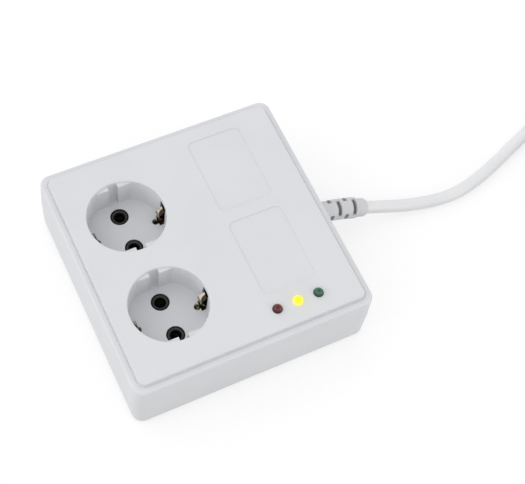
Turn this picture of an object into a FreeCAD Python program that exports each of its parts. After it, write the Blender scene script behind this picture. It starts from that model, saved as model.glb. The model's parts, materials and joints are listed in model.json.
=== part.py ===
import FreeCAD, Part
import math
import os

V = FreeCAD.Vector

# Two-way surge protector block with round earthed sockets and its mains lead, in millimetres.
# X runs from the socket column to the side where the lead leaves, Y runs away from the lamps, Z is up.
# The origin is under the middle of the housing, on the surface that the feet stand on.

# Housing
housing_width = 127.5
housing_depth = 127.5
housing_height = 39.0
foot_proud = 1.0
base_height = 19.0
wall = 2.2
base_floor = 2.0
corner_radius = 6.0
draft_inset = 0.5
ledge_width = 4.2
panel_rise = 2.2
panel_corner = 3.2
panel_edge_round = 0.45
groove_width = 0.9
groove_depth = 0.4
groove_round = 0.3
ledge_round = 1.2
base_round = 1.5
lip_height = 1.5
lip_thickness = 1.1
lip_gap = 0.1
lip_root_overlap = 0.2
post_root = 0.5

# Sockets
socket_offset = 30.75
socket_pitch = 51.7
recess_bore = 39.5
recess_floor_bore = 38.9
recess_depth = 17.5
cup_wall = 1.9
cup_floor = 2.0
rim_round = 0.5
guide_flat = 17.2
guide_gap = 5.0
guide_below_rim = 1.3
pin_pitch = 19.0
pin_entry = 5.4
pin_entry_chamfer = 0.8
pin_entry_round = 0.25

# Earth clips and the pockets that they spring into
clip_width = 3.6
clip_sheet = 0.6
clip_root_reach = 20.4
clip_straight = 1.6
clip_apex_reach = 15.8
clip_apex_height = 7.0
clip_tip_reach = 19.8
clip_height = 10.2
clip_bend = 1.3
pocket_width = 5.8
pocket_reach = 23.4
pocket_below_rim = 3.0
pocket_wall = 1.8
pocket_apex_gap = 1.2
clip_hole = 3.6
clip_hole_reach = 15.8
clip_hole_slot = 2.2

# Contacts under the recess floors
carrier_width = 16.0
carrier_plate = 2.8
carrier_end = 5.5
carrier_corner = 2.5
chimney_recess = 0.4
boss_bore_gap = 0.1
boss_diameter = 9.2
boss_below_floor = 0.2
contact_tube_wall = 1.1
contact_outer = 6.4
contact_bore = 4.7
contact_height = 12.0
contact_lift = 2.0
contact_slit = 0.8
contact_slit_depth = 8.0
contact_gap = 0.3
contact_lip = 0.5
tab_sheet = 0.8
tab_lift = 0.5
busbar_sheet = 0.8
busbar_height = 5.0
busbar_lift = 2.5
busbar_reach = 11.0
busbar_overrun = 3.0
rest_width = 3.2
rest_depth = 3.0
tab_window = 2.4
tab_window_over = 1.5
strap_width = 6.0
strap_sheet = 0.8
strap_reach = 21.8
strap_gap = 0.1
link_width = 5.0
link_reach = 15.5
link_overrun = 2.5

# Circuit board and what stands on it
board_width = 43.0
board_depth = 88.0
board_clamp_gap = 2.0
board_front_gap = 3.55
board_sheet = 1.6
board_lift = 20.0
board_corner = 1.5
board_hole_inset = 4.0
component_gap = 0.2
varistor_diameter = 10.0
varistor_thickness = 4.2
varistor_spacing = 11.0
varistor_back = 34.0
tube_diameter = 8.0
tube_length = 6.0
tube_right = 12.0
tube_back = 20.0
fuse_diameter = 4.0
fuse_length = 11.0
fuse_right = -12.0
fuse_back = 22.0
capacitor_length = 18.0
capacitor_depth = 8.0
capacitor_height = 11.5
capacitor_back = 6.0
capacitor_round = 0.8
resistor_diameter = 2.4
resistor_length = 6.5
resistor_behind_lamps = 13.0

# Pilot lamps in a row along X
lamp_diameter = 5.0
lamp_flange = 5.8
lamp_flange_height = 1.0
lamp_length = 8.6
lamp_proud = 2.4
lamp_gap = 0.1
lamp_pitch = 11.1
lamp_row_inset_x = 36.65
lamp_row_inset_y = 14.75
lamp_hole_gap = 0.1
lead_size = 0.5
lead_pitch = 2.54

# Shallow fields moulded into the panel
field_width = 29.0
field_depth = 43.0
field_corner = 3.5
field_sink = 0.35
field_inset_x = 36.25
field_y = 6.0
field_pitch = 49.9

# Fasteners and feet
boss_inset = 9.75
boss_radius = 4.5
screw_shank = 3.0
screw_head = 5.8
screw_head_height = 2.2
screw_head_sink = 4.8
screw_length = 24.0
screw_clearance = 0.2
screw_bite = 0.05
small_shank = 2.4
small_head = 4.6
small_head_height = 1.7
small_length = 8.0
small_boss_radius = 3.4
screw_tip_length = 1.0
head_chamfer_share = 0.3
cross_length_share = 0.55
cross_width_share = 0.14
cross_depth_share = 0.5
foot_diameter = 12.0
foot_height = 2.0
foot_gap = 0.1
foot_inset_x = 23.75
foot_inset_y = 11.75

# Cord, its strain relief and its clamp
cord_diameter = 6.8
cord_rest_gap = 0.05
relief_neck = 11.0
relief_neck_gap = 0.1
relief_flange = 15.0
relief_flange_sheet = 1.7
relief_flange_gap = 0.4
relief_seat_gap = 0.1
relief_seat_proud = 0.4
relief_root = 10.0
relief_tip = 8.7
relief_length = 30.5
relief_tip_round = 0.9
relief_slot = 2.1
relief_slot_span = 7.4
relief_slot_pitch = 4.4
relief_first_slot = 8.6
relief_slots = 5
relief_roll = 18.0
clamp_inset = 11.55
clamp_length = 7.0
clamp_width = 25.0
clamp_bar = 4.2
clamp_bar_round = 1.0
clamp_gap = 0.5
clamp_screw_y = 8.0
sheath_past_clamp = 1.1
wire_diameter = 2.4
wire_bend = 3.0
board_wire_diameter = 1.8
board_wire_bend = 2.2

# The three cores where they leave the sheath, as shares of its radius
core_spread_share = 0.55
core_low_share = 0.5
core_high_share = 0.9

# Lanes of the wires inside the housing: place along Y, height over the floor, straight and falling runs
live_lane = 4.5
live_lane_lift = 11.0
live_straight = 9.4
live_fall = 10.0
neutral_lane = -2.2
neutral_straight = 7.4
neutral_fall = 13.0
earth_lane = -8.0
earth_lane_lift = 10.0
earth_straight = 12.4
earth_fall = 12.0
board_live_lane = 8.2
board_neutral_lane = -5.4
board_earth_lane = -11.6
board_lane_inset = 4.0
lane_step = 1.0
bar_level_run = 5.0
bar_slope_run = 4.0

# The lead's route from inside the housing to the coil, one chosen point per bend
cord_bend_inset = 1.75
cord_far_points = [
    (95.0, 0.0, 12.8),
    (122.0, -2.6, 4.6),
    (143.0, -7.2, None),
    (162.0, -4.9, None),
    (185.0, 1.2, None),
    (210.0, 9.7, None),
    (231.0, 18.2, None),
]
coil_inner_radius = 26.5
coil_pitch = 7.5
coil_layer_rise = 7.4
coil_half_turns = 11
coil_steps_per_turn = 4

# Plug at the far end, lying on its back
plug_neck_root = 7.0
plug_neck_tip = 4.4
plug_neck_length = 28.0
plug_neck_merge = 5.0
plug_neck_overrun = 4.0
plug_back_radius = 20.4
plug_back_height = 17.2
plug_back_round = 4.0
plug_insert_radius = 18.4
plug_insert_height = 17.0
plug_flat = 17.0
plug_key = 4.4
plug_front_chamfer = 1.0
plug_pin_diameter = 4.8
plug_pin_length = 19.0
plug_pin_seat = 8.0
plug_earth_width = 5.4
plug_earth_sheet = 0.7
plug_earth_sink = 1.5
plug_earth_short = 2.0
plug_earth_gap = 0.1
plug_ring_gap = 3.4
plug_ring_cut = 1.3
plug_ring_depth = 0.7
plug_rings = 4

# Levels
base_z = foot_proud
inside_z = base_z + base_floor
parting_z = base_z + base_height
top_z = base_z + housing_height
ledge_z = top_z - panel_rise
recess_z = top_z - recess_depth
under_cup_z = recess_z - cup_floor
board_z = inside_z + board_lift
board_top_z = board_z + board_sheet
socket_x = -socket_offset
socket_rows = [socket_pitch / 2, -socket_pitch / 2]
panel_width = housing_width - 2 * ledge_width
panel_depth = housing_depth - 2 * ledge_width
inner_x = housing_width / 2 - wall
strap_z = under_cup_z - strap_sheet
link_z = strap_z - strap_sheet
bar_z = inside_z + busbar_lift
wire_z = bar_z + busbar_height / 2
cord_radius = cord_diameter / 2
cord_floor_z = cord_radius + cord_rest_gap
clamp_x = inner_x - clamp_inset
sheath_end_x = clamp_x - clamp_length / 2 - sheath_past_clamp
board_centre_x = clamp_x - clamp_length / 2 - board_clamp_gap - board_width / 2
board_centre_y = board_front_gap + board_depth / 2 - (housing_depth / 2 - wall)
lamp_row_x = housing_width / 2 - lamp_row_inset_x
lamp_row_y = lamp_row_inset_y - housing_depth / 2
field_x = housing_width / 2 - field_inset_x
boss_x = housing_width / 2 - boss_inset
boss_y = housing_depth / 2 - boss_inset
foot_x = housing_width / 2 - foot_inset_x
foot_y = housing_depth / 2 - foot_inset_y


# Basic forms
def outline(width, depth, radius, z, cx=0.0, cy=0.0):
    """Rounded rectangle of four lines and four arcs."""
    x = width / 2
    y = depth / 2
    k = radius * (1 - math.sqrt(0.5))
    corners = [(1, 1), (-1, 1), (-1, -1), (1, -1)]
    edges = []
    ends = []
    for sx, sy in corners:
        side = V(cx + sx * x, cy + sy * (y - radius), z)
        end = V(cx + sx * (x - radius), cy + sy * y, z)
        middle = V(cx + sx * (x - k), cy + sy * (y - k), z)
        first, last = (side, end) if sx * sy > 0 else (end, side)
        if ends:
            edges.append(Part.LineSegment(ends[-1], first).toShape())
        else:
            start = first
        edges.append(Part.Arc(first, middle, last).toShape())
        ends.append(last)
    edges.append(Part.LineSegment(ends[-1], start).toShape())
    return Part.Wire(edges)


def prism(width, depth, radius, z0, z1, cx=0.0, cy=0.0):
    face = Part.Face(outline(width, depth, radius, z0, cx, cy))
    return face.extrude(V(0, 0, z1 - z0))


def drafted(width, depth, radius, z_wide, z_far, inset):
    """Block that draws in by inset from z_wide to z_far."""
    wide = outline(width, depth, radius, z_wide)
    far = outline(width - 2 * inset, depth - 2 * inset, radius - inset, z_far)
    return Part.makeLoft([wide, far], True, True)


def box(x0, x1, y0, y1, z0, z1):
    return Part.makeBox(x1 - x0, y1 - y0, z1 - z0, V(x0, y0, z0))


def post(x, y, z0, z1, radius):
    return Part.makeCylinder(radius, z1 - z0, V(x, y, z0))


def level_edges(shape, z):
    """Edges that lie flat at the height z."""
    found = []
    for edge in shape.Edges:
        low = edge.BoundBox.ZMin
        high = edge.BoundBox.ZMax
        if abs(low - z) < 0.001 and abs(high - z) < 0.001:
            found.append(edge)
    return found


def inside(edges, half_x, half_y, cx=0.0, cy=0.0):
    """Those edges whose middle is within a half size of a centre."""
    found = []
    for edge in edges:
        centre = edge.BoundBox.Center
        if abs(centre.x - cx) < half_x and abs(centre.y - cy) < half_y:
            found.append(edge)
    return found


def save(name, shape):
    shape = shape.removeSplitter() if len(shape.Solids) == 1 else shape
    if len(shape.Solids) == 1:
        shape = shape.Solids[0]
    shape.exportStep("parts/" + name + ".step")
    print(name, "solids", len(shape.Solids), "volume", round(shape.Volume, 1), "valid", shape.isValid())
    return shape


# Paths of straight runs joined by tangent arcs
def turn_between(before, corner, after):
    return (corner - before).getAngle(after - corner)


def rounded_path(points, radii):
    edges = []
    last = points[0]
    for i in range(1, len(points) - 1):
        corner = points[i]
        way_in = (corner - points[i - 1]).normalize()
        way_out = (points[i + 1] - corner).normalize()
        half = turn_between(points[i - 1], corner, points[i + 1]) / 2
        radius = radii[i - 1]
        cut = radius * math.tan(half)
        start = corner - way_in * cut
        end = corner + way_out * cut
        inward = (way_out - way_in).normalize()
        middle = corner + inward * (radius / math.cos(half) - radius)
        edges.append(Part.LineSegment(last, start).toShape())
        edges.append(Part.Arc(start, middle, end).toShape())
        last = end
    edges.append(Part.LineSegment(last, points[-1]).toShape())
    return Part.Wire(edges)


def cord_radii(points, share=0.45):
    radii = []
    for i in range(1, len(points) - 1):
        run_in = (points[i] - points[i - 1]).Length
        run_out = (points[i + 1] - points[i]).Length
        half = turn_between(points[i - 1], points[i], points[i + 1]) / 2
        radii.append(share * min(run_in, run_out) / math.tan(half))
    return radii


def tube(path, diameter, start, direction):
    ring = Part.Wire(Part.Circle(start, direction, diameter / 2).toShape())
    return path.makePipeShell([ring], True, False)


def ribbon(points, radii, sheet, width):
    """Bent strip in an XZ plane, width along Y."""
    path = rounded_path(points, radii)
    way = (points[1] - points[0]).normalize()
    side = V(0, 1, 0)
    up = way.cross(side)
    corners = []
    for a, b in ((-1, -1), (1, -1), (1, 1), (-1, 1), (-1, -1)):
        corners.append(points[0] + up * (a * sheet / 2) + side * (b * width / 2))
    return path.makePipeShell([Part.makePolygon(corners)], True, False)


# Top cover
def cover_outside():
    """Drafted block with a raised panel that a groove sets off from the ledge around it."""
    body = drafted(housing_width, housing_depth, corner_radius, parting_z, ledge_z, draft_inset)
    body = body.makeFillet(ledge_round, level_edges(body, ledge_z))
    groove_z = ledge_z - groove_depth
    groove = prism(panel_width + 2 * groove_width, panel_depth + 2 * groove_width,
                   panel_corner + groove_width, groove_z, top_z)
    panel = prism(panel_width, panel_depth, panel_corner, ledge_z - wall, top_z)
    body = body.cut(groove).fuse(panel).removeSplitter()
    body = body.makeFillet(groove_round, level_edges(body, groove_z))
    return body.makeFillet(panel_edge_round, level_edges(body, top_z))


def cover_cavity():
    inner_w = housing_width - 2 * wall
    inner_d = housing_depth - 2 * wall
    low = prism(inner_w, inner_d, corner_radius - wall, parting_z - 1, parting_z)
    high = drafted(inner_w, inner_d, corner_radius - wall, parting_z, ledge_z - wall, draft_inset)
    under_panel = prism(panel_width - 2 * wall, panel_depth - 2 * wall, panel_corner, ledge_z - wall,
                        top_z - wall)
    return low.fuse(high).fuse(under_panel)


def cup_outside(y):
    """Wall and floor of a recess, with cheeks that carry on beside the open clip slots."""
    shape = post(socket_x, y, under_cup_z, top_z - wall / 2, recess_bore / 2 + cup_wall)
    middle = pocket_width / 2 + pocket_wall / 2
    for side in (-1, 1):
        cheek_y = y + side * middle
        shape = shape.fuse(box(socket_x - pocket_reach, socket_x + pocket_reach, cheek_y - pocket_wall / 2,
                               cheek_y + pocket_wall / 2, under_cup_z, top_z - wall / 2))
    return shape


def cup_recess(y):
    low = recess_floor_bore / 2
    high = recess_bore / 2
    bore = Part.makeCone(low, high, recess_depth, V(socket_x, y, recess_z))
    mouth = post(socket_x, y, top_z, top_z + 1, high)
    return bore.fuse(mouth)


def guide_ribs(y):
    """Two flat-faced ribs at each end of the pin axis, cut from a ring inside the recess."""
    rib_top = top_z - guide_below_rim
    ring = post(socket_x, y, recess_z, rib_top, recess_bore / 2 + cup_wall / 2)
    flat = box(socket_x - recess_bore, socket_x + recess_bore, y - guide_flat, y + guide_flat,
               recess_z - 1, rib_top + 1)
    gap = box(socket_x - guide_gap / 2, socket_x + guide_gap / 2, y - recess_bore, y + recess_bore,
              recess_z - 1, rib_top + 1)
    return ring.cut(flat).cut(gap)


def earth_pockets(y):
    """Slots at both sides of the recess where the earth clips stand and spring back."""
    cuts = []
    half = pocket_width / 2
    slot_top = top_z - pocket_below_rim
    for side in (-1, 1):
        near = socket_x + side * (clip_apex_reach + pocket_apex_gap)
        far = socket_x + side * (pocket_reach + 1)
        cuts.append(box(min(near, far), max(near, far), y - half, y + half, under_cup_z - 1, slot_top))
        hole_x = socket_x + side * clip_hole_reach
        cuts.append(post(hole_x, y, under_cup_z - 1, recess_z + 1, clip_hole / 2))
        slot = clip_hole_slot / 2
        cuts.append(box(min(hole_x, near), max(hole_x, near), y - slot, y + slot,
                        under_cup_z - 1, recess_z + 1))
    return cuts


def lamp_places():
    return [(lamp_row_x + i * lamp_pitch, lamp_row_y) for i in (-1, 0, 1)]


def corner_places(x, y):
    return [(sx * x, sy * y) for sx in (-1, 1) for sy in (-1, 1)]


def relief_opening():
    """Hole through the wall for the neck, and room for the flange behind it."""
    room = 3 * relief_flange_sheet
    start = V(inner_x - room, 0, parting_z)
    neck = Part.makeCylinder(relief_neck / 2 + relief_neck_gap, room + 2 * wall, start, V(1, 0, 0))
    flange_room = Part.makeCylinder(relief_flange / 2 + relief_flange_gap, room, start, V(1, 0, 0))
    return neck.fuse(flange_room)


def top_cover():
    body = cover_outside().cut(cover_cavity())
    for y in socket_rows:
        body = body.fuse(cup_outside(y))
    for x, y in corner_places(boss_x, boss_y):
        body = body.fuse(post(x, y, parting_z, ledge_z - wall / 2, boss_radius))
    body = body.removeSplitter()
    for y in socket_rows:
        body = body.cut(cup_recess(y))
    rims = []
    for y in socket_rows:
        rims += inside(level_edges(body, top_z), 5, 5, socket_x, y)
    body = body.makeFillet(rim_round, rims)
    for y in socket_rows:
        body = body.fuse(guide_ribs(y))
        for cut in earth_pockets(y):
            body = body.cut(cut)
        for side in (-1, 1):
            hole = boss_diameter / 2 + boss_bore_gap
            body = body.cut(post(socket_x, y + side * pin_pitch / 2, under_cup_z - 1, recess_z + 1, hole))
    for x, y in lamp_places():
        body = body.cut(post(x, y, ledge_z - 3 * wall, top_z + 1, lamp_diameter / 2 + lamp_gap))
    for side in (-1, 1):
        y = field_y + side * field_pitch / 2
        body = body.cut(prism(field_width, field_depth, field_corner, top_z - field_sink, top_z + 1,
                              field_x, y))
    pilot_top = base_z + screw_head_sink + screw_length + 1
    for x, y in corner_places(boss_x, boss_y):
        body = body.cut(post(x, y, parting_z - 1, pilot_top, screw_shank / 2 + screw_bite))
    return body.cut(relief_opening())


# Base shell
def base_walls():
    body = drafted(housing_width, housing_depth, corner_radius, parting_z, base_z, draft_inset)
    body = body.makeFillet(base_round, level_edges(body, base_z))
    inner_w = housing_width - 2 * wall
    inner_d = housing_depth - 2 * wall
    cavity = drafted(inner_w, inner_d, corner_radius - wall, parting_z, inside_z, draft_inset)
    above = prism(inner_w, inner_d, corner_radius - wall, parting_z, parting_z + 1)
    return body.cut(cavity.fuse(above))


def base_lip():
    """Tongue inside the wall that the cover closes over."""
    out_w = housing_width - 2 * wall
    out_d = housing_depth - 2 * wall
    radius = corner_radius - wall
    root_z = parting_z - 2 * lip_height
    root = prism(out_w + 2 * lip_root_overlap, out_d + 2 * lip_root_overlap, radius + lip_root_overlap,
                 root_z, parting_z)
    tongue = prism(out_w - 2 * lip_gap, out_d - 2 * lip_gap, radius - lip_gap, root_z,
                   parting_z + lip_height)
    shift = 2 * (lip_gap + lip_thickness)
    core = prism(out_w - shift, out_d - shift, radius - shift / 2, root_z - 1, parting_z + lip_height + 1)
    return root.fuse(tongue).cut(core)


def board_places():
    x = board_width / 2 - board_hole_inset
    y = board_depth / 2 - board_hole_inset
    return [(board_centre_x + dx, board_centre_y + dy) for dx, dy in corner_places(x, y)]


def clamp_block():
    half = clamp_length / 2
    block = box(clamp_x - half, clamp_x + half, -clamp_width / 2, clamp_width / 2,
                inside_z - post_root, parting_z - clamp_gap)
    return block


def busbar_rests():
    rests = []
    for side in (-1, 1):
        x = socket_x + side * (busbar_reach + busbar_sheet / 2)
        for y in (-pin_pitch * 0.75, pin_pitch * 0.25):
            rests.append(box(x - rest_width / 2, x + rest_width / 2, y - rest_depth / 2,
                             y + rest_depth / 2, inside_z - post_root, bar_z))
    return rests


def base_shell():
    body = base_walls().fuse(base_lip())
    for x, y in corner_places(boss_x, boss_y):
        body = body.fuse(post(x, y, inside_z - 1, parting_z, boss_radius))
    for x, y in board_places():
        body = body.fuse(post(x, y, inside_z - post_root, board_z, small_boss_radius))
    body = body.fuse(clamp_block())
    for rest in busbar_rests():
        body = body.fuse(rest)
    for x, y in corner_places(boss_x, boss_y):
        body = body.cut(post(x, y, base_z - 1, parting_z + 1, screw_shank / 2 + screw_clearance))
        body = body.cut(post(x, y, base_z - 1, base_z + screw_head_sink,
                             screw_head / 2 + screw_clearance))
    for x, y in board_places():
        depth = small_length - board_sheet + 1
        body = body.cut(post(x, y, board_z - depth, board_z + 1, small_shank / 2 + screw_bite))
    for x, y in corner_places(foot_x, foot_y):
        body = body.cut(post(x, y, base_z - 1, foot_height, foot_diameter / 2 + foot_gap))
    for side in (-1, 1):
        y = side * clamp_screw_y
        body = body.cut(post(clamp_x, y, parting_z - small_length, parting_z, small_shank / 2 + screw_bite))
    body = body.cut(Part.makeCylinder(cord_radius, clamp_length + 2,
                                      V(clamp_x - clamp_length / 2 - 1, 0, parting_z), V(1, 0, 0)))
    return body.cut(relief_opening()).removeSplitter()


# Contacts
def pin_places(y):
    return [y + pin_pitch / 2, y - pin_pitch / 2]


def contact_carrier(y):
    """Dark insert whose two bosses show as rings in the recess floor."""
    length = pin_pitch + 2 * carrier_end
    plate_z = under_cup_z - carrier_plate
    body = prism(carrier_width, length, carrier_corner, plate_z, under_cup_z, socket_x, y)
    chimney_bore = contact_outer / 2 + contact_gap
    for pin_y in pin_places(y):
        body = body.fuse(post(socket_x, pin_y, inside_z, plate_z, chimney_bore + contact_tube_wall))
        body = body.fuse(post(socket_x, pin_y, plate_z, recess_z - boss_below_floor, boss_diameter / 2))
    channel = strap_width / 2 + strap_gap
    body = body.cut(box(socket_x - carrier_width, socket_x + carrier_width, y - channel, y + channel,
                        strap_z - strap_gap, under_cup_z + 1))
    mouth_z = recess_z - boss_below_floor
    wide = pin_entry / 2 + pin_entry_chamfer
    for i, pin_y in enumerate(pin_places(y)):
        body = body.cut(post(socket_x, pin_y, inside_z - 1, plate_z + chimney_recess, chimney_bore))
        body = body.cut(post(socket_x, pin_y, plate_z - 1, recess_z + 1, pin_entry / 2))
        body = body.cut(Part.makeCone(pin_entry / 2, wide, pin_entry_chamfer,
                                      V(socket_x, pin_y, mouth_z - pin_entry_chamfer)))
        side = -1 if i == 0 else 1
        out_x = socket_x + side * busbar_reach
        window = tab_window / 2
        body = body.cut(box(min(socket_x, out_x), max(socket_x, out_x), pin_y - window, pin_y + window,
                            inside_z - 1, bar_z + busbar_height + tab_window_over))
    return body.makeFillet(pin_entry_round, level_edges(body, mouth_z))


def contact(pin_y, side):
    """Slit spring sleeve that grips a pin, with a tab to its busbar."""
    foot = inside_z + contact_lift
    body = post(socket_x, pin_y, foot, foot + contact_height - contact_lip, contact_outer / 2)
    flare = Part.makeCone(contact_outer / 2, contact_outer / 2 + contact_gap / 2, contact_lip,
                          V(socket_x, pin_y, foot + contact_height - contact_lip))
    tab_z = bar_z + tab_lift
    out_x = socket_x + side * busbar_reach
    tab = box(min(socket_x, out_x), max(socket_x, out_x), pin_y - tab_sheet / 2, pin_y + tab_sheet / 2,
              tab_z, tab_z + busbar_height - 2 * tab_lift)
    body = body.fuse(flare).fuse(tab)
    bore = post(socket_x, pin_y, foot - 1, foot + contact_height + 1, contact_bore / 2)
    lead_in = Part.makeCone(contact_bore / 2, contact_bore / 2 + contact_lip, 2 * contact_lip,
                            V(socket_x, pin_y, foot + contact_height - 2 * contact_lip))
    slit = box(socket_x - contact_outer, socket_x + contact_outer, pin_y - contact_slit / 2,
               pin_y + contact_slit / 2, foot + contact_height - contact_slit_depth,
               foot + contact_height + 1)
    return body.cut(bore).cut(lead_in).cut(slit)


def busbar(side):
    """Upright strip that joins the contacts of one pole."""
    x = socket_x + side * busbar_reach
    pins = [pin_places(y)[0 if side < 0 else 1] for y in socket_rows]
    low = min(pins) - busbar_overrun
    high = max(pins) + busbar_overrun
    far = x + side * busbar_sheet
    return box(min(x, far), max(x, far), low, high, bar_z, bar_z + busbar_height)


def earth_strap(y):
    half = strap_width / 2
    strap = box(socket_x - strap_reach, socket_x + strap_reach, y - half, y + half, strap_z, under_cup_z)
    return strap


def earth_link():
    half = link_width / 2
    reach = socket_pitch / 2 + link_overrun
    x = socket_x + link_reach
    return box(x - half, x + half, -reach, reach, link_z, strap_z)


def earth_clip(y, side):
    """Bowed leaf that leans into the recess and back into its pocket."""
    root_z = under_cup_z + contact_gap
    points = [
        V(clip_root_reach, 0, root_z),
        V(clip_root_reach, 0, recess_z + clip_straight),
        V(clip_apex_reach + clip_sheet / 2, 0, recess_z + clip_apex_height),
        V(clip_tip_reach, 0, recess_z + clip_height),
    ]
    strip = ribbon(points, [clip_bend, clip_bend], clip_sheet, clip_width)
    if side < 0:
        strip = strip.mirror(V(0, 0, 0), V(1, 0, 0))
    strip.translate(V(socket_x, y, 0))
    return strip


# Circuit board
def circuit_board():
    body = prism(board_width, board_depth, board_corner, board_z, board_top_z, board_centre_x,
                 board_centre_y)
    for x, y in board_places():
        body = body.cut(post(x, y, board_z - 1, board_top_z + 1, small_shank / 2 + screw_clearance))
    for x, y in lamp_places():
        for side in (-1, 1):
            half = lead_size / 2 + lamp_hole_gap
            cx = x + side * lead_pitch / 2
            body = body.cut(box(cx - half, cx + half, y - half, y + half, board_z - 1, board_top_z + 1))
    return body


def varistor(i):
    x = board_centre_x + (i - 1) * varistor_spacing
    radius = varistor_diameter / 2
    y = board_centre_y + varistor_back
    centre = V(x, y - varistor_thickness / 2, board_top_z + component_gap + radius)
    disc = Part.makeCylinder(radius, varistor_thickness, centre, V(0, 1, 0))
    return disc.makeChamfer(varistor_thickness * 0.25, disc.Edges[0:1] + disc.Edges[2:3])


def lying_cylinder(x, y, diameter, length, axis, bevel):
    radius = diameter / 2
    middle = V(x, y, board_top_z + component_gap + radius)
    start = middle - axis * (length / 2)
    body = Part.makeCylinder(radius, length, start, axis)
    return body.makeChamfer(bevel, body.Edges[0:1] + body.Edges[2:3])


def gas_discharge_tube():
    return lying_cylinder(board_centre_x + tube_right, board_centre_y + tube_back, tube_diameter,
                          tube_length, V(1, 0, 0), tube_diameter / 20)


def thermal_fuse():
    return lying_cylinder(board_centre_x + fuse_right, board_centre_y + fuse_back, fuse_diameter,
                          fuse_length, V(1, 0, 0), fuse_diameter / 7)


def film_capacitor():
    x0 = board_centre_x - capacitor_length / 2
    y0 = board_centre_y + capacitor_back - capacitor_depth / 2
    z = board_top_z + component_gap
    body = box(x0, x0 + capacitor_length, y0, y0 + capacitor_depth, z, z + capacitor_height)
    return body.makeFillet(capacitor_round, body.Edges)


def resistors():
    solids = []
    for x, y in lamp_places():
        solids.append(lying_cylinder(x, y + resistor_behind_lamps, resistor_diameter, resistor_length,
                                     V(0, 1, 0), resistor_diameter / 5))
    return Part.makeCompound(solids)


def lamp(x, y):
    """Five millimetre lamp with its flange, straight wall and dome."""
    tip = top_z + lamp_proud
    radius = lamp_diameter / 2
    foot = tip - lamp_length
    flange = post(x, y, foot, foot + lamp_flange_height, lamp_flange / 2)
    wall_part = post(x, y, foot, tip - radius, radius)
    dome = Part.makeSphere(radius, V(x, y, tip - radius))
    return flange.fuse(wall_part).fuse(dome).removeSplitter()


def lamp_leads():
    solids = []
    foot = top_z + lamp_proud - lamp_length
    half = lead_size / 2
    for x, y in lamp_places():
        for side in (-1, 1):
            cx = x + side * lead_pitch / 2
            solids.append(box(cx - half, cx + half, y - half, y + half, board_z - 1, foot))
    return Part.makeCompound(solids)


# Fasteners and feet
def screw(x, y, head_z, shank, head, head_height, length, up):
    """Pan head screw; up is 1 when the shank rises from its head."""
    axis = V(0, 0, up)
    stem_length = length - screw_tip_length
    stem = Part.makeCylinder(shank / 2, stem_length, V(x, y, head_z), axis)
    tip = Part.makeCone(shank / 2, shank / 5, screw_tip_length, V(x, y, head_z + up * stem_length), axis)
    cap = Part.makeCylinder(head / 2, head_height, V(x, y, head_z), V(0, 0, -up))
    rim = level_edges(cap, head_z - up * head_height)
    cap = cap.makeChamfer(head_height * head_chamfer_share, rim)
    cross_z = head_z - up * head_height
    body = stem.fuse(tip).fuse(cap)
    floor_z = cross_z + up * head_height * cross_depth_share
    long_arm = head * cross_length_share
    short_arm = head * cross_width_share
    for wide, deep in ((long_arm, short_arm), (short_arm, long_arm)):
        low = min(cross_z, floor_z)
        high = max(cross_z, floor_z)
        body = body.cut(box(x - wide / 2, x + wide / 2, y - deep / 2, y + deep / 2, low, high))
    return body


def cover_screws():
    z = base_z + screw_head_sink
    solids = []
    for x, y in corner_places(boss_x, boss_y):
        solids.append(screw(x, y, z, screw_shank, screw_head, screw_head_height, screw_length, 1))
    return Part.makeCompound(solids)


def board_screws():
    solids = []
    for x, y in board_places():
        solids.append(screw(x, y, board_top_z, small_shank, small_head, small_head_height,
                            small_length, -1))
    return Part.makeCompound(solids)


def rubber_feet():
    solids = []
    for x, y in corner_places(foot_x, foot_y):
        disc = post(x, y, 0, foot_height, foot_diameter / 2)
        solids.append(disc.makeChamfer(foot_proud * 0.6, level_edges(disc, 0)))
    return Part.makeCompound(solids)


# Cord
def clamp_bar_shape():
    half = clamp_length / 2
    low = parting_z + clamp_gap
    high = parting_z + cord_radius + clamp_bar
    bar = box(clamp_x - half, clamp_x + half, -clamp_width / 2, clamp_width / 2, low, high)
    bar = bar.makeFillet(clamp_bar_round, level_edges(bar, high))
    groove = Part.makeCylinder(cord_radius, clamp_length + 2, V(clamp_x - half - 1, 0, parting_z), V(1, 0, 0))
    bar = bar.cut(groove)
    for side in (-1, 1):
        bar = bar.cut(post(clamp_x, side * clamp_screw_y, low - 1, high + 1,
                           small_shank / 2 + screw_clearance))
    return bar


def clamp_screws():
    top = parting_z + cord_radius + clamp_bar
    solids = []
    for side in (-1, 1):
        solids.append(screw(clamp_x, side * clamp_screw_y, top, small_shank, small_head,
                            small_head_height, small_length + cord_radius + 2, -1))
    return Part.makeCompound(solids)


def cord_route():
    points = [V(sheath_end_x, 0, parting_z), V(housing_width / 2 - cord_bend_inset, 0, parting_z)]
    for x, y, z in cord_far_points:
        points.append(V(x, y, cord_floor_z if z is None else z))
    return points


def cord_run_shape():
    points = cord_route()
    radii = cord_radii(points)
    print("cord bend radii", [round(r, 1) for r in radii])
    path = rounded_path(points, radii)
    body = tube(path, cord_diameter, points[0], V(1, 0, 0))
    section = math.pi * cord_radius ** 2
    print("cord run length", round(path.Length, 1), "volume against section times length",
          round(body.Volume / (section * path.Length), 4))
    return body


def relief_frame():
    """Start and direction of the sleeve outside the wall."""
    points = cord_route()
    way = (points[2] - points[1]).normalize()
    return points[1], way


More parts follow.
